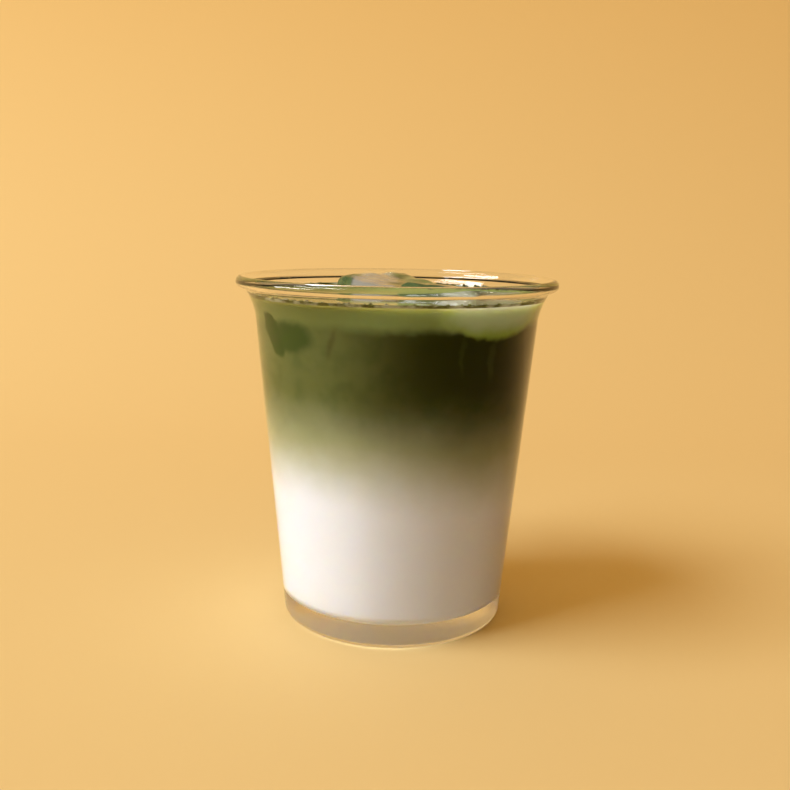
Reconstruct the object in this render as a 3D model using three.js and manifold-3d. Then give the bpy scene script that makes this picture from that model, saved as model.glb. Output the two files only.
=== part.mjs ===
// Iced matcha latte in a clear glass tumbler: milk below, matcha above it, and two ice cubes that
// stand proud of the drink. Millimetres, +Z up, origin at the centre of the tumbler's foot.

import * as THREE from 'three';
import { mergeVertices } from 'three/addons/utils/BufferGeometryUtils.js';
import Module from 'manifold-3d';

// Tumbler: a straight taper that turns outward into a round bead at the lip
const glassHeight = 100;
const footRadius = 32.4;
const radiusGainPerHeight = 0.0925;
const wallThickness = 1.8;
const floorThickness = 6.9;
const heelRadius = 2;
const floorCornerRadius = 2.5;
const beadRadius = 1.6;
const beadCentreRadius = 44.5;
const flareStartHeight = 88;
const flareCurve = 0.031;
const lipThinning = 0.5;

// Drink: how high it stands, where the two layers meet, and how it climbs the wall
const drinkLevel = 93.7;
const meniscusRise = 1.8;
const meniscusWidth = 3;
const layerLevel = 49;
const layerWave = 1.3;
const clearance = 0.3;

// Ice: cubes as frozen in a 27 mm tray, with melted edges
const iceEdge = 27;
const iceSquareness = 7;

// Fineness of the faceted surfaces
const turnSegments = 56;
const flareSteps = 4;
const cornerSteps = 3;
const beadSteps = 9;
const layerRings = 4;
const iceSteps = 6;

const wasm = await Module();
wasm.setup();

function outerRadius(z) {
  const flare = Math.max(0, z - flareStartHeight);
  return footRadius + radiusGainPerHeight * z + flareCurve * flare * flare;
}

// The wall thins a little where it turns outward
function innerRadius(z) {
  const flareShare = THREE.MathUtils.smoothstep(z, flareStartHeight, glassHeight - beadRadius);
  return outerRadius(z) - wallThickness + lipThinning * flareShare;
}

function arc(centreRadius, centreHeight, radius, startDegrees, endDegrees, steps) {
  const points = [];
  for (let i = 0; i <= steps; i += 1) {
    const angle = THREE.MathUtils.degToRad(THREE.MathUtils.lerp(startDegrees, endDegrees, i / steps));
    points.push(new THREE.Vector2(
      centreRadius + radius * Math.cos(angle),
      centreHeight + radius * Math.sin(angle),
    ));
  }
  return points;
}

// The heights at which the flared part of the wall has its rings, so that all who touch it share them
function flareHeights() {
  const heights = [];
  const flareTop = glassHeight - 2 * beadRadius;
  for (let i = 0; i <= flareSteps; i += 1) {
    heights.push(THREE.MathUtils.lerp(flareStartHeight, flareTop, i / flareSteps));
  }
  return heights;
}

function wallPoints(radiusAt, heights) {
  return heights.map((z) => new THREE.Vector2(radiusAt(z), z));
}

// The round corner where the drink and the tumbler's floor meet the inner wall, grown or shrunk by an offset
function floorCorner(offset) {
  const radius = floorCornerRadius - offset;
  const centreRadius = innerRadius(floorThickness + floorCornerRadius) - floorCornerRadius;
  return arc(centreRadius, floorThickness + floorCornerRadius, radius, -90, 0, cornerSteps);
}

// Turns a profile that starts and ends on the axis into a closed geometry standing on +Z
function turned(profile) {
  const geometry = new THREE.LatheGeometry(profile, turnSegments);
  geometry.rotateX(Math.PI / 2);
  return closed(geometry);
}

// Shares the vertices of touching triangles and leaves out the triangles that collapse on the axis
function closed(geometry) {
  geometry.deleteAttribute('normal');
  geometry.deleteAttribute('uv');
  const merged = mergeVertices(geometry, 1e-4);
  const corners = merged.getIndex().array;
  const kept = [];
  for (let i = 0; i < corners.length; i += 3) {
    const [a, b, c] = [corners[i], corners[i + 1], corners[i + 2]];
    if (a !== b && b !== c && c !== a) {
      kept.push(a, b, c);
    }
  }
  merged.setIndex(kept);
  return merged;
}

function toManifold(geometry) {
  const vertProperties = new Float32Array(geometry.getAttribute('position').array);
  const triVerts = new Uint32Array(geometry.getIndex().array);
  return new wasm.Manifold(new wasm.Mesh({ numProp: 3, vertProperties, triVerts }));
}

function fromManifold(solid) {
  const mesh = solid.getMesh();
  const geometry = new THREE.BufferGeometry();
  geometry.setAttribute('position', new THREE.BufferAttribute(mesh.vertProperties, 3));
  geometry.setIndex(new THREE.BufferAttribute(mesh.triVerts, 1));
  return geometry;
}

function namedMesh(name, geometry, look) {
  geometry.computeVertexNormals();
  const mesh = new THREE.Mesh(geometry, new THREE.MeshStandardMaterial(look));
  mesh.name = name;
  return mesh;
}

function makeGlass() {
  const profile = [
    new THREE.Vector2(0, 0),
    ...arc(outerRadius(heelRadius) - heelRadius, heelRadius, heelRadius, -90, 0, cornerSteps),
    ...wallPoints(outerRadius, flareHeights()),
    ...arc(beadCentreRadius, glassHeight - beadRadius, beadRadius, -90, 180, beadSteps),
    ...wallPoints(innerRadius, flareHeights().reverse()),
    ...floorCorner(0).reverse(),
    new THREE.Vector2(0, floorThickness),
  ];
  const look = { color: 0xe9efe9, roughness: 0.03, metalness: 0, transparent: true, opacity: 0.35 };
  return namedMesh('glass', turned(profile), look);
}

// The two layers meet in gentle swells, higher on one side, as milk and matcha do when poured
function layerSwell(x, y) {
  const reach = Math.hypot(x, y) / innerRadius(layerLevel);
  const angle = Math.atan2(y, x);
  return layerWave * reach * (Math.sin(angle + 0.6) + 0.5 * reach * Math.cos(3 * angle));
}

// Rings of the meeting surface from the axis out to the wall, both ends included
function layerRingPoints(height, wallRadius) {
  const points = [];
  for (let i = 0; i <= layerRings; i += 1) {
    points.push(new THREE.Vector2((wallRadius * i) / layerRings, height));
  }
  return points;
}

// Lifts the points of a turned solid that lie on the flat meeting surface onto the swells
function swellLayer(geometry, height) {
  const position = geometry.getAttribute('position');
  for (let i = 0; i < position.count; i += 1) {
    if (Math.abs(position.getZ(i) - height) < clearance / 2) {
      position.setZ(i, height + layerSwell(position.getX(i), position.getY(i)));
    }
  }
  return geometry;
}

function drinkRadius(z) {
  return innerRadius(z) - clearance;
}

function makeMilk() {
  const profile = [
    new THREE.Vector2(0, floorThickness + clearance),
    ...floorCorner(clearance),
    ...layerRingPoints(layerLevel, drinkRadius(layerLevel)).reverse(),
  ];
  const geometry = swellLayer(turned(profile), layerLevel);
  return namedMesh('milk', geometry, { color: 0xf3ebdd, roughness: 0.35, metalness: 0 });
}

// The matcha climbs the wall in a meniscus and is cut round each ice cube
function makeMatcha(iceCubes) {
  const bottom = layerLevel + clearance;
  const climbTop = drinkLevel + meniscusRise;
  const wettedHeights = [...flareHeights().filter((z) => z < climbTop), climbTop];
  const wallRadius = drinkRadius(climbTop);
  const meniscus = [];
  for (let i = 1; i <= cornerSteps; i += 1) {
    const share = i / cornerSteps;
    meniscus.push(new THREE.Vector2(
      wallRadius - meniscusWidth * share,
      drinkLevel + meniscusRise * (1 - share) ** 2,
    ));
  }
  const profile = [
    ...layerRingPoints(bottom, drinkRadius(layerLevel)),
    ...wallPoints(drinkRadius, wettedHeights),
    ...meniscus,
    new THREE.Vector2(0, drinkLevel),
  ];
  let solid = toManifold(swellLayer(turned(profile), bottom));
  for (const cube of iceCubes) {
    const hollow = meltedCube(iceEdge + 2 * clearance);
    hollow.applyMatrix4(cube.matrixWorld);
    solid = solid.subtract(toManifold(hollow));
  }
  return namedMesh('matcha', fromManifold(solid), { color: 0x4f5a22, roughness: 0.3, metalness: 0 });
}

// A cube with melted corners and edges, slightly narrower at one end like its tray
function meltedCube(edge) {
  const geometry = closed(new THREE.BoxGeometry(2, 2, 2, iceSteps, iceSteps, iceSteps));
  const position = geometry.getAttribute('position');
  const trayTaper = 0.07;
  for (let i = 0; i < position.count; i += 1) {
    const spread = [position.getX(i), position.getY(i), position.getZ(i)]
      .map((value) => Math.tan((value * Math.PI) / 4));
    const power = spread.reduce((sum, value) => sum + Math.abs(value) ** iceSquareness, 0);
    const scale = (0.5 * edge) / power ** (1 / iceSquareness);
    const narrowing = 1 - trayTaper * spread[2];
    position.setXYZ(
      i,
      spread[0] * scale * narrowing,
      spread[1] * scale * narrowing,
      spread[2] * scale,
    );
  }
  return geometry;
}

function makeIce(name, place, turn) {
  const mesh = namedMesh(name, meltedCube(iceEdge), { color: 0xdfe6d2, roughness: 0.08, metalness: 0 });
  mesh.position.set(...place);
  mesh.rotation.set(...turn.map(THREE.MathUtils.degToRad));
  mesh.updateMatrixWorld();
  return mesh;
}

const iceBack = makeIce('ice_back', [-2, 18.6, 85.4], [7, -6, 22]);
const iceRight = makeIce('ice_right', [16.6, -14.2, 84.4], [-6, 7, -40]);

const latte = new THREE.Group();
latte.add(makeGlass(), makeMilk(), makeMatcha([iceBack, iceRight]), iceBack, iceRight);

export default latte;
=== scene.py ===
"""Iced matcha latte in a clear tumbler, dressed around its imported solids. Metres, +Z up."""

import math
import random

import bpy
from mathutils import Euler, Matrix, Vector


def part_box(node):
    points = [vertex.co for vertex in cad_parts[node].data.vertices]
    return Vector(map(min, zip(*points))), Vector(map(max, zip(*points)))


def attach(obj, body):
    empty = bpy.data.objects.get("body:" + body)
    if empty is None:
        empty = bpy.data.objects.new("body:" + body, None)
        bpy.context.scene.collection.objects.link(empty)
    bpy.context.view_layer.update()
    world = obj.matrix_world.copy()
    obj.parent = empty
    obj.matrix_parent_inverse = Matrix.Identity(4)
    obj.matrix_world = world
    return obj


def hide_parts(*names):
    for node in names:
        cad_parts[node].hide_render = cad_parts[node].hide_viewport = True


bl_info = {
    "name": "Iced Matcha Latte",
    "version": (1, 0, 0),
    "blender": (4, 5, 0),
    "location": "3D View > Sidebar > Latte",
    "description": "Builds an iced matcha latte in its tumbler, with a studio stage",
    "category": "Object",
}

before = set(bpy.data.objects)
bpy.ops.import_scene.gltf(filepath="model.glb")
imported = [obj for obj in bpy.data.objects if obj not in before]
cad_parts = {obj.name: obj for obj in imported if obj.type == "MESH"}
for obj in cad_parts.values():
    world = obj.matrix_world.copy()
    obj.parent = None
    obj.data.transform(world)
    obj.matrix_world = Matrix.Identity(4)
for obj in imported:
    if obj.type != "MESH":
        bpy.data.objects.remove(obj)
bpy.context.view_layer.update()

MM = 0.001
GLASS_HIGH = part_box("glass")[1]
MATCHA_LOW, MATCHA_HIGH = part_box("matcha")
ICE_NODES = ("ice_back", "ice_right")

# Fineness of what is turned about the axis, and slack for telling faces apart by their place
TURN_STEPS = 160
CORNER_STEPS = 8
FACE_SLACK = 0.02 * MM

# Refraction
GLASS_IOR = 1.5
ICE_IOR = 1.31
DRINK_IOR = 1.34


class LatteSettings(bpy.types.PropertyGroup):
    """Sizes and colours of the drink, its tumbler and its stage"""

    height: bpy.props.FloatProperty(
        name="Height", description="Height of the tumbler", default=GLASS_HIGH.z, unit="LENGTH")
    bead_radius: bpy.props.FloatProperty(
        name="Bead radius", description="Half the thickness of the rounded lip",
        default=1.6 * MM, unit="LENGTH")
    lip_radius: bpy.props.FloatProperty(
        name="Lip radius", description="Outermost radius of the lip",
        default=GLASS_HIGH.x, unit="LENGTH")
    foot_radius: bpy.props.FloatProperty(
        name="Foot radius", description="Outside radius where the wall would meet the table",
        default=32.4 * MM, unit="LENGTH")
    radius_gain: bpy.props.FloatProperty(
        name="Taper", description="Outside radius gained for each unit of height", default=0.0925)
    wall: bpy.props.FloatProperty(
        name="Wall", description="Thickness of the side wall", default=1.8 * MM, unit="LENGTH")
    floor_thickness: bpy.props.FloatProperty(
        name="Floor", description="Thickness of the clear floor", default=6.9 * MM, unit="LENGTH")
    heel_radius: bpy.props.FloatProperty(
        name="Heel radius", description="Rounding where the wall meets the foot",
        default=2 * MM, unit="LENGTH")
    corner_radius: bpy.props.FloatProperty(
        name="Floor corner", description="Rounding inside, between floor and wall",
        default=2.5 * MM, unit="LENGTH")
    flare_start: bpy.props.FloatProperty(
        name="Flare start", description="Height where the wall turns outward",
        default=88 * MM, unit="LENGTH")
    flare_curve: bpy.props.FloatProperty(
        name="Flare curve", description="How fast the wall turns outward, per metre", default=31.0)
    lip_thinning: bpy.props.FloatProperty(
        name="Lip thinning", description="How much the wall thins towards the lip",
        default=0.5 * MM, unit="LENGTH")
    meniscus_rise: bpy.props.FloatProperty(
        name="Meniscus rise", description="How far the drink climbs the wall",
        default=1.8 * MM, unit="LENGTH")
    meniscus_width: bpy.props.FloatProperty(
        name="Meniscus width", description="How far from the wall the drink starts to climb",
        default=3 * MM, unit="LENGTH")
    rim_height: bpy.props.FloatProperty(
        name="Rim height", description="Height of the flecked line where the drink ends at the wall",
        default=0.8 * MM, unit="LENGTH")
    bite: bpy.props.FloatProperty(
        name="Bite", description="How far the drink reaches into the glass and the ice, so that no gap shows",
        default=0.15 * MM, unit="LENGTH")
    ice_edge: bpy.props.FloatProperty(
        name="Ice edge", description="Edge of an ice cube", default=27 * MM, unit="LENGTH")
    ice_bevel: bpy.props.FloatProperty(
        name="Ice rounding", description="How far the cube's edges have melted",
        default=3.4 * MM, unit="LENGTH")
    ice_dents: bpy.props.FloatProperty(
        name="Ice dents", description="Depth of the hollows that melting leaves",
        default=1.8 * MM, unit="LENGTH")
    bubble_count: bpy.props.IntProperty(
        name="Bubbles", description="Number of small bubbles round the drink's edge", default=420)
    bubble_radius: bpy.props.FloatProperty(
        name="Bubble radius", description="Radius of the largest bubbles",
        default=0.6 * MM, unit="LENGTH")
    glass_colour: bpy.props.FloatVectorProperty(
        name="Glass", description="Tint of the clear glass",
        subtype="COLOR", size=3, default=(0.985, 0.99, 0.985))
    ice_colour: bpy.props.FloatVectorProperty(
        name="Ice", description="Tint of the clean ice",
        subtype="COLOR", size=3, default=(1.0, 0.99, 0.93))
    # Painted refraction: the ice is tinted with the drink's green where the drink would show through it.
    drink_seen_in_ice_colour: bpy.props.FloatVectorProperty(
        name="Wet ice", description="Tint of the ice that matcha has run over",
        subtype="COLOR", size=3, default=(0.19, 0.30, 0.13))
    milk_colour: bpy.props.FloatVectorProperty(
        name="Milk", description="Colour of the milk",
        subtype="COLOR", size=3, default=(0.91, 0.90, 0.89))
    latte_colour: bpy.props.FloatVectorProperty(
        name="Latte", description="Colour half way between milk and matcha",
        subtype="COLOR", size=3, default=(0.50, 0.49, 0.27))
    matcha_colour: bpy.props.FloatVectorProperty(
        name="Matcha", description="Colour of the matcha on the side where it is thin",
        subtype="COLOR", size=3, default=(0.140, 0.163, 0.038))
    strong_colour: bpy.props.FloatVectorProperty(
        name="Strong matcha", description="Colour of the matcha on the side where it is strong",
        subtype="COLOR", size=3, default=(0.088, 0.094, 0.012))
    # Painted light: the band just under the drink's surface is painted lighter, as light coming in from the
    # top would make it, and paler still on the right.
    painted_top_light_colour: bpy.props.FloatVectorProperty(
        name="Matcha edge", description="Colour of the drink just under its surface, on the left",
        subtype="COLOR", size=3, default=(0.20, 0.235, 0.055))
    painted_top_light_right_colour: bpy.props.FloatVectorProperty(
        name="Paler edge", description="Colour of the drink just under its surface, on the right",
        subtype="COLOR", size=3, default=(0.36, 0.45, 0.15))
    # Painted shade: the darkness of the sunk ice behind the thin drink at the upper right, painted into the
    # drink's colour.
    painted_shade_colour: bpy.props.FloatVectorProperty(
        name="Darkest matcha", description="Colour of the upper right of the matcha",
        subtype="COLOR", size=3, default=(0.047, 0.050, 0.002))
    leaf_colour: bpy.props.FloatVectorProperty(
        name="Dark patch on the left", description="Colour of the patch at the left wall, probably sunk ice",
        subtype="COLOR", size=3, default=(0.014, 0.064, 0.001))
    # Painted light: the bright fringe round the pale patch is the thin drink as lit by light coming in
    # through the right cube.
    painted_fringe_light_colour: bpy.props.FloatVectorProperty(
        name="Film of matcha", description="Colour round the pale patch, where the drink is thin",
        subtype="COLOR", size=3, default=(0.43, 0.57, 0.09))
    # Partly the right cube's own paler look and partly painted light: the drink behind the cube as lit
    # through the ice.
    pale_ice_and_light_colour: bpy.props.FloatVectorProperty(
        name="Pale patch", description="Colour of the wall's drink in front of the right cube",
        subtype="COLOR", size=3, default=(0.66, 0.78, 0.52))
    hollow_colour: bpy.props.FloatVectorProperty(
        name="Milky film", description="Colour of the drink seen through the clear ice",
        subtype="COLOR", size=3, default=(0.42, 0.41, 0.24))
    backdrop_colour: bpy.props.FloatVectorProperty(
        name="Backdrop", description="Colour of the floor and backdrop", subtype="COLOR", size=3,
        default=(0.92, 0.69, 0.31))


def settings():
    return bpy.context.scene.latte


def outer_radius(z):
    s = settings()
    flare = max(0.0, z - s.flare_start)
    return s.foot_radius + s.radius_gain * z + s.flare_curve * flare * flare


def inner_radius(z):
    """The wall thins a little where it turns outward"""
    s = settings()
    share = (z - s.flare_start) / (s.height - s.bead_radius - s.flare_start)
    share = min(1.0, max(0.0, share))
    return outer_radius(z) - s.wall + s.lip_thinning * share * share * (3 - 2 * share)


def arc(centre, radius, start, end, steps):
    """Points (radius, height) along a round stretch, angles in degrees"""
    points = []
    for i in range(steps + 1):
        angle = math.radians(start + (end - start) * i / steps)
        points.append((centre[0] + radius * math.cos(angle), centre[1] + radius * math.sin(angle)))
    return points


def heights(low, high, steps):
    return [low + (high - low) * i / steps for i in range(steps + 1)]


def only_this(piece=None):
    """Leaves nothing selected but the piece given"""
    if bpy.context.object and bpy.context.object.mode != "OBJECT":
        bpy.ops.object.mode_set(mode="OBJECT")
    bpy.ops.object.select_all(action="DESELECT")
    if piece:
        piece.select_set(True)
        bpy.context.view_layer.objects.active = piece


def spun(name, profile, steps):
    """Draws a profile of (radius, height) points vertex by vertex and spins it round the axis"""
    only_this()
    bpy.ops.mesh.primitive_plane_add(size=MM, location=(0, 0, 0))
    piece = bpy.context.object
    piece.name = name
    bpy.ops.object.mode_set(mode="EDIT")
    bpy.ops.mesh.select_all(action="SELECT")
    bpy.ops.mesh.merge(type="CENTER")
    bpy.ops.transform.translate(value=(profile[0][0], 0, profile[0][1]))
    for before, after in zip(profile, profile[1:]):
        step = (after[0] - before[0], 0, after[1] - before[1])
        bpy.ops.mesh.extrude_vertices_move(TRANSFORM_OT_translate={"value": step})
    bpy.ops.mesh.select_all(action="SELECT")
    bpy.ops.mesh.spin(steps=steps, angle=math.tau, center=(0, 0, 0), axis=(0, 0, 1))
    bpy.ops.mesh.select_all(action="SELECT")
    bpy.ops.mesh.remove_doubles(threshold=1e-6)
    bpy.ops.mesh.normals_make_consistent(inside=False)
    bpy.ops.object.mode_set(mode="OBJECT")
    return piece


def smooth(piece, degrees):
    only_this(piece)
    bpy.ops.object.shade_smooth_by_angle(angle=math.radians(degrees))


def apply_modifiers(piece):
    only_this(piece)
    for modifier in list(piece.modifiers):
        bpy.ops.object.modifier_apply(modifier=modifier.name)


def material(name):
    """A new node material with its Principled shader"""
    made = bpy.data.materials.new(name)
    made.use_nodes = True
    return made, made.node_tree.nodes["Principled BSDF"]


def node(tree, kind, **values):
    """Adds a node; values name its inputs, or its own settings where they start with set_"""
    added = tree.nodes.new(kind)
    for key, value in values.items():
        if key.startswith("set_"):
            setattr(added, key[4:], value)
        else:
            added.inputs[key.replace("_", " ")].default_value = value
    return added


def colour_group(name, inputs, outputs):
    """An empty shader group with named sockets, and its two end nodes"""
    group = bpy.data.node_groups.new(name, "ShaderNodeTree")
    for label, kind, default in inputs:
        socket = group.interface.new_socket(name=label, in_out="INPUT", socket_type=kind)
        if default is not None:
            socket.default_value = default
    for label, kind in outputs:
        group.interface.new_socket(name=label, in_out="OUTPUT", socket_type=kind)
    return group, group.nodes.new("NodeGroupInput"), group.nodes.new("NodeGroupOutput")


def lets_lamps_through(made, passed):
    """Shadow rays pass the clear material, so that the lamps light what is behind it"""
    tree = made.node_tree
    shader = tree.nodes["Principled BSDF"]
    mix = node(tree, "ShaderNodeMixShader")
    clear = node(tree, "ShaderNodeBsdfTransparent", Color=(*passed, 1))
    path = node(tree, "ShaderNodeLightPath")
    tree.links.new(path.outputs["Is Shadow Ray"], mix.inputs[0])
    tree.links.new(shader.outputs[0], mix.inputs[1])
    tree.links.new(clear.outputs[0], mix.inputs[2])
    tree.links.new(mix.outputs[0], tree.nodes["Material Output"].inputs["Surface"])


def tumbler_glass():
    """Clear glass, a little frosted round the thick floor"""
    s = settings()
    made, shader = material("tumbler_glass")
    tree = made.node_tree
    place = node(tree, "ShaderNodeTexCoord")
    parts = node(tree, "ShaderNodeSeparateXYZ")
    tree.links.new(place.outputs["Object"], parts.inputs[0])
    low = ramp(tree, parts.outputs["Z"], s.floor_thickness + 2 * MM, s.floor_thickness - 1 * MM)
    tree.links.new(maths(tree, "MULTIPLY", low, 0.17), shader.inputs["Roughness"])
    shader.inputs["Base Color"].default_value = (*s.glass_colour, 1)
    shader.inputs["IOR"].default_value = GLASS_IOR
    shader.inputs["Transmission Weight"].default_value = 1.0
    lets_lamps_through(made, (0.96, 0.965, 0.96))
    return made


def lip_glass():
    """The thick rounded lip: the same clear glass, fire-polished, with faint waves from its forming"""
    made, shader = material("lip_glass")
    tree = made.node_tree
    place = node(tree, "ShaderNodeTexCoord")
    waves = node(tree, "ShaderNodeTexNoise", Scale=32.0, Detail=3.0)
    bump = node(tree, "ShaderNodeBump", Strength=0.15, Distance=0.2 * MM)
    tree.links.new(place.outputs["Object"], waves.inputs["Vector"])
    tree.links.new(waves.outputs["Fac"], bump.inputs["Height"])
    tree.links.new(bump.outputs["Normal"], shader.inputs["Normal"])
    shader.inputs["Base Color"].default_value = (*settings().glass_colour, 1)
    shader.inputs["Roughness"].default_value = 0.0
    shader.inputs["IOR"].default_value = GLASS_IOR
    shader.inputs["Transmission Weight"].default_value = 1.0
    lets_lamps_through(made, (0.9, 0.9, 0.9))
    return made


def melting_ice():
    """Clear, finely rippled ice, with painted refraction: tinted green in the bands where the drink shows
    through it
    """
    made, shader = material("melting_ice")
    tree = made.node_tree
    place = node(tree, "ShaderNodeTexCoord")
    ripples = node(tree, "ShaderNodeTexNoise", Scale=220.0, Detail=3.0)
    bump = node(tree, "ShaderNodeBump", Strength=0.6, Distance=0.4 * MM)
    tree.links.new(place.outputs["Object"], ripples.inputs["Vector"])
    tree.links.new(ripples.outputs["Fac"], bump.inputs["Height"])
    tree.links.new(bump.outputs["Normal"], shader.inputs["Normal"])
    parts = node(tree, "ShaderNodeSeparateXYZ")
    white = tint(tree, settings().ice_colour)
    green = tint(tree, settings().drink_seen_in_ice_colour)
    tree.links.new(place.outputs["Object"], parts.inputs[0])
    # Painted refraction: bands of the drink's green on either side of a clear middle
    wisps = node(tree, "ShaderNodeTexNoise", Scale=95.0, Detail=3.0)
    tree.links.new(place.outputs["Object"], wisps.inputs["Vector"])
    drift = maths(tree, "SUBTRACT", wisps.outputs["Fac"], 0.5)
    across = maths(tree, "MULTIPLY_ADD", drift, 14 * MM, maths(tree, "ADD", parts.outputs["X"], 7 * MM))
    wet = ramp(tree, maths(tree, "ABSOLUTE", across), 4.5 * MM, 8.5 * MM)
    wet = maths(tree, "MULTIPLY", wet, ramp(tree, across, 25 * MM, 16 * MM))
    tree.links.new(blend(tree, wet, white, green), shader.inputs["Base Color"])
    shader.inputs["Roughness"].default_value = 0.03
    shader.inputs["IOR"].default_value = ICE_IOR
    shader.inputs["Transmission Weight"].default_value = 0.64
    lets_lamps_through(made, (0.95, 0.96, 0.94))
    return made


def bubble_film():
    """Small bubbles of matcha, wet and of uneven colour"""
    made, shader = material("bubble_film")
    tree = made.node_tree
    place = node(tree, "ShaderNodeTexCoord")
    clouds = node(tree, "ShaderNodeTexNoise", Scale=260.0, Detail=2.0)
    dark = tint(tree, settings().painted_top_light_colour)
    pale = tint(tree, settings().hollow_colour)
    tree.links.new(place.outputs["Object"], clouds.inputs["Vector"])
    share = ramp(tree, clouds.outputs["Fac"], 0.4, 0.65)
    tree.links.new(blend(tree, share, dark, pale), shader.inputs["Base Color"])
    shader.inputs["Roughness"].default_value = 0.08
    shader.inputs["IOR"].default_value = DRINK_IOR
    shader.inputs["Transmission Weight"].default_value = 0.5
    return made


def tint(tree, colour):
    """A colour as a socket"""
    source = node(tree, "ShaderNodeRGB")
    source.outputs[0].default_value = (*colour, 1)
    return source.outputs[0]


def ramp(tree, value, low, high):
    """A smooth step of a value from one limit to the other"""
    step = node(tree, "ShaderNodeMapRange", set_interpolation_type="SMOOTHSTEP", From_Min=low, From_Max=high)
    tree.links.new(value, step.inputs["Value"])
    return step.outputs["Result"]


def blend(tree, share, first, second):
    """Mixes two colour sockets by a share"""
    mix = node(tree, "ShaderNodeMix", set_data_type="RGBA")
    tree.links.new(share, mix.inputs["Factor"])
    tree.links.new(first, mix.inputs["A"])
    tree.links.new(second, mix.inputs["B"])
    return mix.outputs["Result"]


def maths(tree, operation, first, second=0.0, third=0.0):
    """One step of arithmetic on sockets or numbers"""
    step = node(tree, "ShaderNodeMath", set_operation=operation)
    for i, value in enumerate((first, second, third)):
        if isinstance(value, bpy.types.NodeSocket):
            tree.links.new(value, step.inputs[i])
        else:
            step.inputs[i].default_value = value
    return step.outputs[0]


def patch(tree, angle, height, mark):
    """Share of a soft-edged patch on the wall, from a round one to a nearly square one"""
    lean, squareness = mark["lean"], mark["squareness"]
    across = maths(tree, "MULTIPLY_ADD", height, -lean, lean * mark["height"] - mark["angle"])
    across = maths(tree, "DIVIDE", maths(tree, "ADD", angle, across), mark["half_angle"])
    upward = maths(tree, "DIVIDE", maths(tree, "SUBTRACT", height, mark["height"]), mark["half_height"])
    total = maths(tree, "ADD",
                  maths(tree, "POWER", maths(tree, "ABSOLUTE", across), squareness),
                  maths(tree, "POWER", maths(tree, "ABSOLUTE", upward), squareness))
    reach = maths(tree, "POWER", total, 1 / squareness)
    shown = ramp(tree, reach, 1 + mark["softness"], 1 - mark["softness"])
    return maths(tree, "MULTIPLY", shown, mark["share"])


def spot(colour, angle, height, half_angle, half_height, softness, squareness=2.0, lean=0.0, share=1.0):
    """A patch on the wall: angle in degrees from the front, heights in millimetres"""
    return {"colour": colour, "angle": angle, "height": height, "half_angle": half_angle,
            "half_height": half_height, "softness": softness, "squareness": squareness,
            "lean": lean, "share": share}


# Patches of colour in the drink along the wall. The deep ones lie under the painted-light edge of the drink:
# painted shade of the sunk ice at the upper right, and dark streaks. The near ones lie over it: the dark
# patch on the left, and the pale patch in front of the right cube, partly painted light, with a fringe of
# painted light.
DEEP_SPOTS = (
    spot("Shade", 40, 79.8, 41, 10.2, 0.38, 3.0),
    spot("Shade", -25.5, 84.6, 1.0, 3.2, 0.9, 2.0, 0.3, 0.5),
    spot("Shade", 48, 79, 4, 5, 0.5, 3.0, 0.6),
    spot("Strong Matcha", 40, 80.5, 1.8, 4.5, 0.5, 3.0, 0.0, 0.6),
    spot("Strong Matcha", 25.5, 82, 0.9, 4.5, 0.6, 3.0, 0.0, 0.5),
)
NEAR_SPOTS = (
    spot("Leaf", -55.5, 85.6, 5.6, 5.7, 0.13, 2.4, -0.75),
    spot("Leaf", -46, 85.4, 11.5, 3.8, 0.32, 2.2, -0.3, 0.9),
    spot("Film", 41.5, 92.6, 26, 7.0, 0.13, 1.6),
    spot("Pale", 42, 93.8, 23, 5.6, 0.40, 2.4),
)


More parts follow.
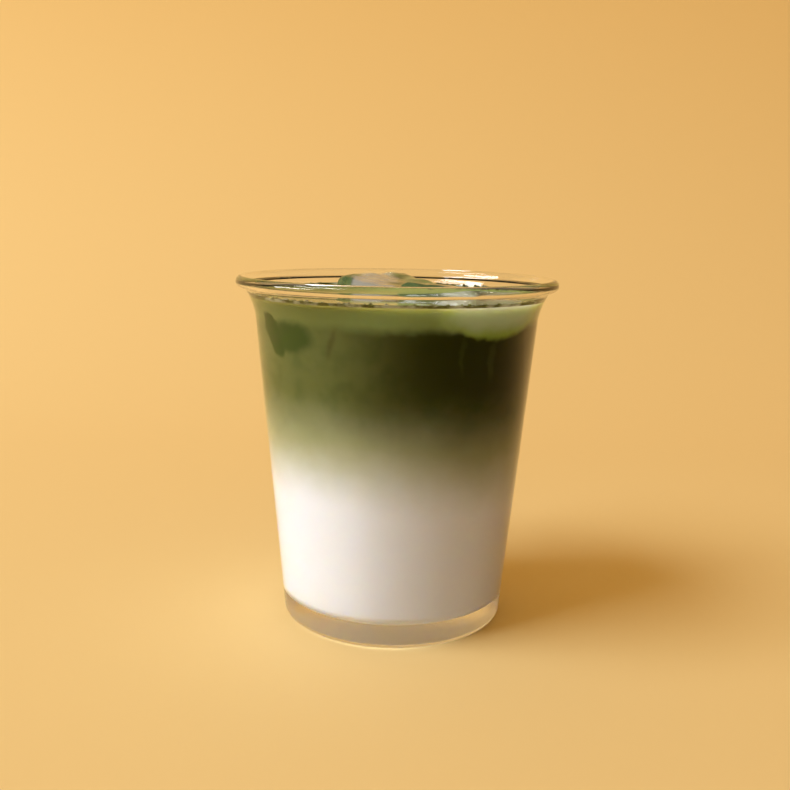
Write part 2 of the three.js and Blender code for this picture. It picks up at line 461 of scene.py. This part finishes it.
def drink_colour():
    """Group: colour of the drink by its place: milk, matcha, its edge painted lighter as painted light, and
    the patches along the wall with painted shade and painted light
    """
    s = settings()
    shades = (
        ("Milk", s.milk_colour), ("Latte", s.latte_colour), ("Matcha", s.matcha_colour),
        ("Strong Matcha", s.strong_colour), ("Edge", s.painted_top_light_colour), ("Glow", s.painted_top_light_right_colour),
        ("Shade", s.painted_shade_colour),
        ("Leaf", s.leaf_colour), ("Film", s.painted_fringe_light_colour), ("Pale", s.pale_ice_and_light_colour),
    )
    sockets = [(label, "NodeSocketColor", (*shade, 1)) for label, shade in shades]
    sockets.append(("On Wall", "NodeSocketFloat", 1.0))
    made = (("Colour", "NodeSocketColor"),)
    group, start, end = colour_group("drink_colour", sockets, made)
    colours = start.outputs
    place = node(group, "ShaderNodeTexCoord")
    parts = node(group, "ShaderNodeSeparateXYZ")
    wisps = node(group, "ShaderNodeTexNoise", Scale=48.0, Detail=4.0, Roughness=0.55)
    grain = node(group, "ShaderNodeTexNoise", Scale=170.0, Detail=2.0, Roughness=0.6)
    group.links.new(place.outputs["Object"], parts.inputs[0])
    for cloud in (wisps, grain):
        group.links.new(place.outputs["Object"], cloud.inputs["Vector"])
    drift = maths(group, "SUBTRACT", wisps.outputs["Fac"], 0.5)
    ragged = maths(group, "SUBTRACT", grain.outputs["Fac"], 0.5)
    x, z = parts.outputs["X"], maths(group, "MULTIPLY", parts.outputs["Z"], 1 / MM)
    forward = maths(group, "MULTIPLY", parts.outputs["Y"], -1.0)
    angle = maths(group, "MULTIPLY", maths(group, "ARCTAN2", x, forward), math.degrees(1))
    angle = maths(group, "MULTIPLY_ADD", ragged, 4.5, maths(group, "MULTIPLY_ADD", drift, 7.0, angle))
    height = maths(group, "MULTIPLY_ADD", ragged, 2.2, maths(group, "MULTIPLY_ADD", drift, 3.0, z))

    tilted = maths(group, "MULTIPLY_ADD", maths(group, "MAXIMUM", x, 0.0), 0.09 / MM, z)
    tilted = maths(group, "MULTIPLY_ADD", x, 0.03 / MM, tilted)
    swirled = maths(group, "MULTIPLY_ADD", drift, 9.0, tilted)
    strong = ramp(group, maths(group, "MULTIPLY_ADD", drift, 12 * MM, x), -26 * MM, 8 * MM)
    matcha = blend(group, strong, colours["Matcha"], colours["Strong Matcha"])
    mottled = maths(group, "MULTIPLY", ramp(group, grain.outputs["Fac"], 0.42, 0.72), 0.3)
    matcha = blend(group, mottled, matcha, colours["Leaf"])
    # Painted shade at the upper right, and dark streaks
    for deep in DEEP_SPOTS:
        matcha = blend(group, patch(group, angle, height, deep), matcha, colours[deep["colour"]])
    # Painted light: the top few millimetres of the drink against the wall are painted lighter, as if lit from
    # above through its surface, paler on the right.
    edge = blend(group, ramp(group, x, -22 * MM, 2 * MM), colours["Edge"], colours["Glow"])
    matcha = blend(group, ramp(group, height, 87.0, 90.5), matcha, edge)
    # The dark patch on the left, then the pale patch, partly painted light, and its fringe of painted light.
    for near in NEAR_SPOTS:
        share = maths(group, "MULTIPLY", patch(group, angle, height, near), start.outputs["On Wall"])
        matcha = blend(group, share, matcha, colours[near["colour"]])
    lower = blend(group, ramp(group, swirled, 37.0, 58.5), colours["Milk"], colours["Latte"])
    mixed = blend(group, ramp(group, swirled, 51.0, 71.5), lower, matcha)
    group.links.new(mixed, end.inputs["Colour"])
    return group


def cloudy_drink(name, gloss, specular, on_wall):
    """The layered drink, dull where it touches the glass and glossy where it is open"""
    made, shader = material(name)
    tree = made.node_tree
    shared = bpy.data.node_groups.get("drink_colour") or drink_colour()
    layers = node(tree, "ShaderNodeGroup", set_node_tree=shared)
    layers.inputs["On Wall"].default_value = on_wall
    tree.links.new(layers.outputs["Colour"], shader.inputs["Base Color"])
    shader.inputs["Roughness"].default_value = gloss
    shader.inputs["IOR"].default_value = DRINK_IOR
    shader.inputs["Specular IOR Level"].default_value = specular
    shader.inputs["Subsurface Weight"].default_value = 1.0
    shader.inputs["Subsurface Radius"].default_value = (1.0, 0.85, 0.6)
    shader.inputs["Subsurface Scale"].default_value = 2.4 * MM
    return made


def milky_film():
    """The drink in the hollows round the ice, where it is thin and milky"""
    made, shader = material("drink_round_ice")
    tree = made.node_tree
    place = node(tree, "ShaderNodeTexCoord")
    clouds = node(tree, "ShaderNodeTexNoise", Scale=90.0, Detail=3.0)
    tree.links.new(place.outputs["Object"], clouds.inputs["Vector"])
    pale = tint(tree, settings().hollow_colour)
    deep = tint(tree, settings().painted_top_light_colour)
    mixed = blend(tree, ramp(tree, clouds.outputs["Fac"], 0.3, 0.7), pale, deep)
    tree.links.new(mixed, shader.inputs["Base Color"])
    shader.inputs["Roughness"].default_value = 0.4
    shader.inputs["Specular IOR Level"].default_value = 0.1
    return made


def thin_rim():
    """The drink where it climbs the wall: light and dark flecks against the glass, plain on top"""
    s = settings()
    made, shader = material("drink_rim")
    tree = made.node_tree
    place = node(tree, "ShaderNodeTexCoord")
    clouds = node(tree, "ShaderNodeTexNoise", Scale=230.0, Detail=3.0)
    dark = tint(tree, s.strong_colour)
    light = tint(tree, s.hollow_colour)
    plain = tint(tree, s.painted_top_light_colour)
    tree.links.new(place.outputs["Object"], clouds.inputs["Vector"])
    share = ramp(tree, clouds.outputs["Fac"], 0.46, 0.64)
    across = node(tree, "ShaderNodeVectorMath", set_operation="MULTIPLY")
    across.inputs[1].default_value = (1, 1, 0)
    tree.links.new(place.outputs["Object"], across.inputs[0])
    reach = node(tree, "ShaderNodeVectorMath", set_operation="LENGTH")
    tree.links.new(across.outputs["Vector"], reach.inputs[0])
    wall = inner_radius(MATCHA_HIGH.z - s.rim_height)
    at_wall = ramp(tree, reach.outputs["Value"], wall - 0.5 * MM, wall - 0.1 * MM)
    flecked = blend(tree, share, dark, light)
    tree.links.new(blend(tree, at_wall, plain, flecked), shader.inputs["Base Color"])
    shader.inputs["Roughness"].default_value = 0.3
    shader.inputs["Specular IOR Level"].default_value = 0.2
    return made


class LATTE_OT_tumbler(bpy.types.Operator):
    """Spins the clear tumbler with its thick floor, flare and rounded lip"""

    bl_idname = "latte.tumbler"
    bl_label = "Tumbler"

    def execute(self, context):
        s = settings()
        bead_height = s.height - s.bead_radius
        bead_centre = (s.lip_radius - s.bead_radius, bead_height)
        flare_top = s.height - 2 * s.bead_radius
        heel_centre = (outer_radius(s.heel_radius) - s.heel_radius, s.heel_radius)
        corner_height = s.floor_thickness + s.corner_radius
        corner_centre = (inner_radius(corner_height) - s.corner_radius, corner_height)
        flare = heights(s.flare_start, flare_top, 12)
        profile = [(0, 0)]
        profile += arc(heel_centre, s.heel_radius, -90, 0, CORNER_STEPS)
        profile += [(outer_radius(z), z) for z in flare]
        profile += arc(bead_centre, s.bead_radius, -90, 180, 24)
        profile += [(inner_radius(z), z) for z in reversed(flare)]
        profile += arc(corner_centre, s.corner_radius, 0, -90, CORNER_STEPS)
        profile += [(0, s.floor_thickness)]
        tumbler = spun("tumbler", profile, TURN_STEPS)
        tumbler.data.materials.append(tumbler_glass())
        tumbler.data.materials.append(lip_glass())
        for face in tumbler.data.polygons:
            face.material_index = int(face.center.z > flare_top)
        smooth(tumbler, 50)
        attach(tumbler, "root")
        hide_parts("glass")
        return {"FINISHED"}


def melt(piece, size, depth):
    """Dents the surface as melting does, by a cloud pattern of the size given"""
    pattern = bpy.data.textures.new("melt", "CLOUDS")
    pattern.noise_scale = size
    pattern.noise_depth = 1
    dents = piece.modifiers.new("melt", "DISPLACE")
    dents.texture = pattern
    dents.texture_coords = "LOCAL"
    dents.strength = depth
    apply_modifiers(piece)


def melted_cube(name):
    """An ice cube with melted, rounded edges, still at the origin"""
    s = settings()
    only_this()
    bpy.ops.mesh.primitive_cube_add(size=s.ice_edge, location=(0, 0, 0))
    cube = bpy.context.object
    cube.name = name
    bpy.ops.object.mode_set(mode="EDIT")
    bpy.ops.mesh.select_all(action="SELECT")
    bpy.ops.mesh.bevel(offset=s.ice_bevel, segments=3, profile=0.5, affect="EDGES")
    bpy.ops.object.mode_set(mode="OBJECT")
    rounded = cube.modifiers.new("rounded", "SUBSURF")
    rounded.levels = 3
    rounded.render_levels = 3
    apply_modifiers(cube)
    return cube


def put_in_place(piece, place, turn):
    """Turns a piece about X, Y and Z, moves it, and puts that place into its mesh"""
    piece.rotation_mode = "ZYX"
    piece.rotation_euler = [math.radians(angle) for angle in turn]
    piece.location = Vector(place) * MM
    only_this(piece)
    bpy.ops.object.transform_apply(location=True, rotation=True, scale=True)
    piece.rotation_mode = "XYZ"


def combine(piece, other, operation):
    """Joins, cuts or trims a piece with another one, which is then removed"""
    step = piece.modifiers.new(operation.lower(), "BOOLEAN")
    step.operation = operation
    step.solver = "EXACT"
    step.object = other
    apply_modifiers(piece)
    bpy.data.objects.remove(other)


def copied(piece, name):
    twin = piece.copy()
    twin.data = piece.data.copy()
    twin.name = name
    bpy.context.scene.collection.objects.link(twin)
    return twin


def shrunk(piece, name, distance):
    """A copy of a piece, pulled in along its normals"""
    twin = copied(piece, name)
    only_this(twin)
    bpy.ops.object.mode_set(mode="EDIT")
    bpy.ops.mesh.select_all(action="SELECT")
    bpy.ops.transform.shrink_fatten(value=-distance)
    bpy.ops.object.mode_set(mode="OBJECT")
    return twin


# Where each cube lies and how it is turned, in millimetres and degrees
ICE_PLACES = {
    "ice_back": ((-2.5, 18.6, 84.6), (6, 5, 33)),
    "ice_right": ((16.6, -14.2, 84.4), (-6, 7, -40)),
}


class LATTE_OT_ice(bpy.types.Operator):
    """Models the two ice cubes that stand proud of the drink"""

    bl_idname = "latte.ice"
    bl_label = "Ice cubes"

    def execute(self, context):
        s = settings()
        ice = melting_ice()
        for node_name in ICE_NODES:
            cube = melted_cube(node_name + "_cube")
            put_in_place(cube, *ICE_PLACES[node_name])
            melt(cube, 9 * MM, s.ice_dents)
            melt(cube, 3 * MM, s.ice_dents / 5)
            cutter = shrunk(cube, node_name + "_cutter", s.bite)
            cutter.hide_render = True
            combine(cube, inside_wall("wall_space"), "INTERSECT")
            cube.data.materials.clear()
            cube.data.materials.append(ice)
            smooth(cube, 50)
            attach(cube, "root")
            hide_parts(node_name)
        return {"FINISHED"}


def inside_wall(name):
    """The space inside the tumbler, reaching just into the wall"""
    s = settings()
    top = s.height - 2 * s.bead_radius
    wall = [(inner_radius(z) + s.bite, z) for z in heights(60 * MM, top, 30)]
    above = s.height + 10 * MM
    profile = [(0, wall[0][1])] + wall + [(wall[-1][0], above), (0, above)]
    return spun(name, profile, TURN_STEPS)


class LATTE_OT_drink(bpy.types.Operator):
    """Spins the milk and matcha up to their level and hollows them round the ice"""

    bl_idname = "latte.drink"
    bl_label = "Milk and matcha"

    def execute(self, context):
        s = settings()
        level = MATCHA_HIGH.z - s.meniscus_rise
        climb_top = MATCHA_HIGH.z
        corner_height = s.floor_thickness + s.corner_radius
        corner_centre = (inner_radius(corner_height) - s.corner_radius, corner_height)
        profile = [(0, s.floor_thickness - s.bite)]
        profile += arc(corner_centre, s.corner_radius + s.bite, -90, 0, CORNER_STEPS)
        rim_bottom = climb_top - s.rim_height
        profile += [(inner_radius(z) + s.bite, z) for z in heights(corner_height + 3 * MM, rim_bottom, 40)]
        profile.append((inner_radius(climb_top) + s.bite, climb_top))
        wall_radius = inner_radius(climb_top) + s.bite
        for share in heights(0, 1, 10)[1:]:
            climb = s.meniscus_rise * (1 - share) ** 2
            profile.append((wall_radius - s.meniscus_width * share, level + climb))
        surface_radius = wall_radius - s.meniscus_width
        profile += [(surface_radius * (1 - share), level) for share in heights(0, 1, 30)[1:]]
        drink = spun("drink", profile, TURN_STEPS)
        for node_name in ICE_NODES:
            combine(drink, bpy.data.objects[node_name + "_cutter"], "DIFFERENCE")
        drink.data.materials.clear()
        drink.data.materials.append(cloudy_drink("drink_against_glass", 0.3, 0.1, 1.0))
        drink.data.materials.append(cloudy_drink("drink_surface", 0.03, 0.5, 0.0))
        drink.data.materials.append(milky_film())
        drink.data.materials.append(thin_rim())
        for face in drink.data.polygons:
            face.material_index = self.place_of(face, level)
        smooth(drink, 50)
        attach(drink, "root")
        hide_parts("milk", "matcha")
        return {"FINISHED"}

    def place_of(self, face, level):
        """Which of the drink's finishes a face has: against glass, open surface, round the ice, thin rim"""
        spot_on_face = face.center
        radius = math.hypot(spot_on_face.x, spot_on_face.y)
        on_wall = radius > inner_radius(spot_on_face.z) - FACE_SLACK
        rim_bottom = MATCHA_HIGH.z - settings().rim_height if on_wall else level + 0.35 * MM
        if spot_on_face.z > rim_bottom:
            return 3
        if radius > inner_radius(spot_on_face.z) - 0.3 * MM or spot_on_face.z < MATCHA_LOW.z:
            return 0
        if spot_on_face.z > level - FACE_SLACK:
            return 1
        return 2


def inside_ice(point, node_name, margin):
    """Whether a point lies inside an ice cube or within a margin of it"""
    place, turn = ICE_PLACES[node_name]
    turned = Euler([math.radians(angle) for angle in turn], "ZYX").to_matrix()
    local = turned.inverted() @ (point - Vector(place) * MM)
    return max(abs(value) for value in local) < settings().ice_edge / 2 + margin


class LATTE_OT_bubbles(bpy.types.Operator):
    """Sets a line of small bubbles round the drink's edge, and a few on its surface"""

    bl_idname = "latte.bubbles"
    bl_label = "Bubbles"

    def execute(self, context):
        s = settings()
        draw = random.Random(7)
        level = MATCHA_HIGH.z - s.meniscus_rise
        only_this()
        bpy.ops.mesh.primitive_ico_sphere_add(subdivisions=2, radius=1 * MM, location=(0, 0, 0))
        model = bpy.context.object
        bpy.ops.object.mode_set(mode="EDIT")
        bpy.ops.transform.resize(value=(1, 1, 0.8))
        bpy.ops.object.mode_set(mode="OBJECT")
        bubbles = []
        while len(bubbles) < s.bubble_count:
            size = s.bubble_radius * (0.3 + 0.7 * draw.random() ** 2)
            angle = draw.uniform(0, math.tau)
            inward = draw.random() ** 5 * 4 * MM
            share = max(0.0, 1 - inward / s.meniscus_width)
            height = level + s.meniscus_rise * share ** 2
            radius = inner_radius(height) - size - inward
            spot_on_surface = Vector((radius * math.cos(angle), radius * math.sin(angle), height))
            if any(inside_ice(spot_on_surface, name, size) for name in ICE_NODES):
                continue
            bubble = copied(model, "bubble")
            bubble.location = spot_on_surface
            bubble.scale = (size / MM,) * 3
            bubbles.append(bubble)
        bpy.data.objects.remove(model)
        only_this(bubbles[0])
        for bubble in bubbles:
            bubble.select_set(True)
        bpy.ops.object.join()
        bpy.ops.object.transform_apply(location=True, rotation=True, scale=True)
        froth = bpy.context.object
        froth.name = "edge_bubbles"
        froth.data.materials.append(bubble_film())
        smooth(froth, 180)
        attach(froth, "root")
        return {"FINISHED"}


def area_light(name, place, aim, size, energy, colour):
    lamp = bpy.data.lights.new(name, "AREA")
    lamp.shape = "RECTANGLE"
    lamp.size, lamp.size_y = size
    lamp.energy = energy
    lamp.color = colour
    held = bpy.data.objects.new(name, lamp)
    bpy.context.scene.collection.objects.link(held)
    held.location = place
    held.rotation_euler = (Vector(aim) - Vector(place)).to_track_quat("-Z", "Y").to_euler()
    return held


# The soft lamp that lights everything, and the cards that show only as highlights on the glass and
# the ice: place, width and height in metres, and power
WINDOW_PLACE = (-1.51, -0.55, 1.78)
WINDOW_AIM = (0, 0, 0.05)
WINDOW_SIZE = (1.3, 1.3)
WINDOW_POWER = 39
WINDOW_COLOUR = (0.91, 0.98, 1.10)
CARD_AIM = (0, 0, 0.09)
CARD_COLOUR = (1.0, 0.98, 0.96)
GLASS_LIGHTS = (
    ("high_card", WINDOW_PLACE, (1.5, 0.4), 24),
    ("left_card", (-1.45, -0.36, 0.48), (0.9, 0.26), 13),
    ("right_card", (1.3, -0.75, 0.36), (0.4, 0.08), 2.2),
)

# The sweep of paper: its size, where it turns up behind the drink, and how round the turn is
SWEEP_SIZE = 4
SWEEP_LEVEL = -0.3 * MM
SWEEP_BACK = 0.55
SWEEP_RISE = 0.5
SWEEP_TURN = 0.35

# The dark cloth that only reflections see: its centre, its soft edge and the clear space round the foot
FLAG_SIZE = 2.4
FLAG_CENTRE = (0.42, -0.42, 0)
FLAG_LEVEL = 0.5 * MM
FLAG_EDGE = (0.75, 0.30)
FLAG_CLEARING = (0.05, 0.16)
FLAG_COLOUR = (0.01, 0.008, 0.006)

# Light from all round, and the dimmer room that glass and gloss show
FILL_COLOUR, FILL_STRENGTH = (1.0, 0.59, 0.145), 0.48
ROOM_COLOUR, ROOM_STRENGTH = (1.0, 0.80, 0.62), 0.12

# Camera: lens and sensor width, tilt down and roll in degrees, and place in millimetres
LENS = 42.26
SENSOR_WIDTH = 36
TILT_DOWN = 10.58
ROLL = 1.01
CAMERA_PLACE = (-0.114, -269.15, 115.4)


class LATTE_OT_stage(bpy.types.Operator):
    """Sets up the warm sweep of paper, the soft lights and the camera"""

    bl_idname = "latte.stage"
    bl_label = "Stage"

    def execute(self, context):
        self.paper_sweep()
        self.lamps()
        self.dark_flag()
        self.room_light()
        self.photo_view()
        return {"FINISHED"}

    def paper_sweep(self):
        """Floor that turns up into the backdrop"""
        only_this()
        bpy.ops.mesh.primitive_plane_add(size=SWEEP_SIZE, location=(0, 0, SWEEP_LEVEL))
        sweep = bpy.context.object
        sweep.name = "sweep"
        bpy.ops.object.transform_apply(location=True)
        bpy.ops.object.mode_set(mode="EDIT")
        bpy.ops.mesh.select_all(action="DESELECT")
        bpy.ops.object.mode_set(mode="OBJECT")
        for vertex in sweep.data.vertices:
            if vertex.co.y > 1:
                vertex.co.y = SWEEP_BACK
        for edge in sweep.data.edges:
            edge.select = all(sweep.data.vertices[v].co.y > 0.5 for v in edge.vertices)
        bpy.ops.object.mode_set(mode="EDIT")
        bpy.ops.mesh.extrude_region_move(TRANSFORM_OT_translate={"value": (0, 0, SWEEP_RISE)})
        bpy.ops.object.mode_set(mode="OBJECT")
        for edge in sweep.data.edges:
            ends = [sweep.data.vertices[v].co for v in edge.vertices]
            edge.select = all(end.y > 0.5 and end.z < 0.1 for end in ends)
        bpy.ops.object.mode_set(mode="EDIT")
        bpy.ops.mesh.select_mode(type="EDGE")
        bpy.ops.mesh.bevel(offset=SWEEP_TURN, segments=24, affect="EDGES")
        bpy.ops.object.mode_set(mode="OBJECT")
        smooth(sweep, 60)
        made, shader = material("pale_paper")
        shader.inputs["Base Color"].default_value = (*settings().backdrop_colour, 1)
        shader.inputs["Roughness"].default_value = 0.8
        sweep.data.materials.append(made)

    def lamps(self):
        """The window lamp, and the cards that only the glass and the ice reflect"""
        window = area_light(
            "window", WINDOW_PLACE, WINDOW_AIM, WINDOW_SIZE, WINDOW_POWER, WINDOW_COLOUR)
        window.visible_glossy = False
        glassware = bpy.data.collections.new("glassware")
        glassware.objects.link(bpy.data.objects["tumbler"])
        for node_name in ICE_NODES:
            glassware.objects.link(bpy.data.objects[node_name + "_cube"])
        for name, place, size, energy in GLASS_LIGHTS:
            card = area_light(name, place, CARD_AIM, size, energy, CARD_COLOUR)
            card.visible_diffuse = False
            card.visible_transmission = False
            card.light_linking.receiver_collection = glassware

    def dark_flag(self):
        """A dark cloth in front of the drink, which shows only in reflections"""
        only_this()
        centre_x, centre_y, _ = FLAG_CENTRE
        bpy.ops.mesh.primitive_plane_add(size=FLAG_SIZE, location=(centre_x, centre_y, FLAG_LEVEL))
        flag = bpy.context.object
        flag.name = "dark_flag"
        bpy.ops.object.transform_apply(location=True)
        made, shader = material("dark_cloth")
        tree = made.node_tree
        place = node(tree, "ShaderNodeTexCoord")
        away = node(tree, "ShaderNodeVectorMath", set_operation="DISTANCE")
        away.inputs[1].default_value = FLAG_CENTRE
        tree.links.new(place.outputs["Object"], away.inputs[0])
        soft_edge = ramp(tree, away.outputs["Value"], *FLAG_EDGE)
        from_foot = node(tree, "ShaderNodeVectorMath", set_operation="LENGTH")
        tree.links.new(place.outputs["Object"], from_foot.inputs[0])
        clear_of_foot = ramp(tree, from_foot.outputs["Value"], *FLAG_CLEARING)
        tree.links.new(maths(tree, "MULTIPLY", soft_edge, clear_of_foot), shader.inputs["Alpha"])
        shader.inputs["Base Color"].default_value = (*FLAG_COLOUR, 1)
        shader.inputs["Roughness"].default_value = 1.0
        flag.data.materials.append(made)
        flag.visible_camera = False
        flag.visible_diffuse = False
        flag.visible_transmission = False
        flag.visible_shadow = False

    def room_light(self):
        """Soft light from all round, dimmer where glass and gloss look at it"""
        world = bpy.data.worlds.new("studio")
        bpy.context.scene.world = world
        world.use_nodes = True
        tree = world.node_tree
        fill = tree.nodes["Background"]
        fill.inputs["Color"].default_value = (*FILL_COLOUR, 1)
        fill.inputs["Strength"].default_value = FILL_STRENGTH
        room = node(tree, "ShaderNodeBackground", Color=(*ROOM_COLOUR, 1), Strength=ROOM_STRENGTH)
        path = node(tree, "ShaderNodeLightPath")
        bounced = maths(
            tree, "MAXIMUM", path.outputs["Is Glossy Ray"], path.outputs["Is Transmission Ray"])
        dim = node(tree, "ShaderNodeMixShader")
        tree.links.new(bounced, dim.inputs[0])
        tree.links.new(fill.outputs[0], dim.inputs[1])
        tree.links.new(room.outputs[0], dim.inputs[2])
        tree.links.new(dim.outputs[0], tree.nodes["World Output"].inputs["Surface"])

    def photo_view(self):
        """The camera where the photo was taken from"""
        lens = bpy.data.cameras.new("photo_view")
        lens.lens = LENS
        lens.sensor_width = SENSOR_WIDTH
        camera = bpy.data.objects.new("photo_view", lens)
        bpy.context.scene.collection.objects.link(camera)
        tilt = Matrix.Rotation(math.radians(90 - TILT_DOWN), 4, "X")
        roll = Matrix.Rotation(math.radians(ROLL), 4, "Z")
        moved = Matrix.Translation([value * MM for value in CAMERA_PLACE])
        camera.matrix_world = moved @ tilt @ roll
        bpy.context.scene.camera = camera
        bpy.context.scene.view_settings.view_transform = "Standard"


class LATTE_PT_panel(bpy.types.Panel):
    """Lists the pieces of the latte"""

    bl_idname = "LATTE_PT_panel"
    bl_label = "Iced Matcha Latte"
    bl_space_type = "VIEW_3D"
    bl_region_type = "UI"
    bl_category = "Latte"

    def draw(self, context):
        for operator in PIECES:
            self.layout.operator(operator.bl_idname)


PIECES = (LATTE_OT_tumbler, LATTE_OT_ice, LATTE_OT_drink, LATTE_OT_bubbles, LATTE_OT_stage)
CLASSES = (LatteSettings, *PIECES, LATTE_PT_panel)


def register():
    for cls in CLASSES:
        bpy.utils.register_class(cls)
    bpy.types.Scene.latte = bpy.props.PointerProperty(type=LatteSettings)


def unregister():
    del bpy.types.Scene.latte
    for cls in reversed(CLASSES):
        bpy.utils.unregister_class(cls)


def main():
    register()
    bpy.ops.latte.tumbler()
    bpy.ops.latte.ice()
    bpy.ops.latte.drink()
    bpy.ops.latte.bubbles()
    bpy.ops.latte.stage()


if __name__ == "__main__":
    main()
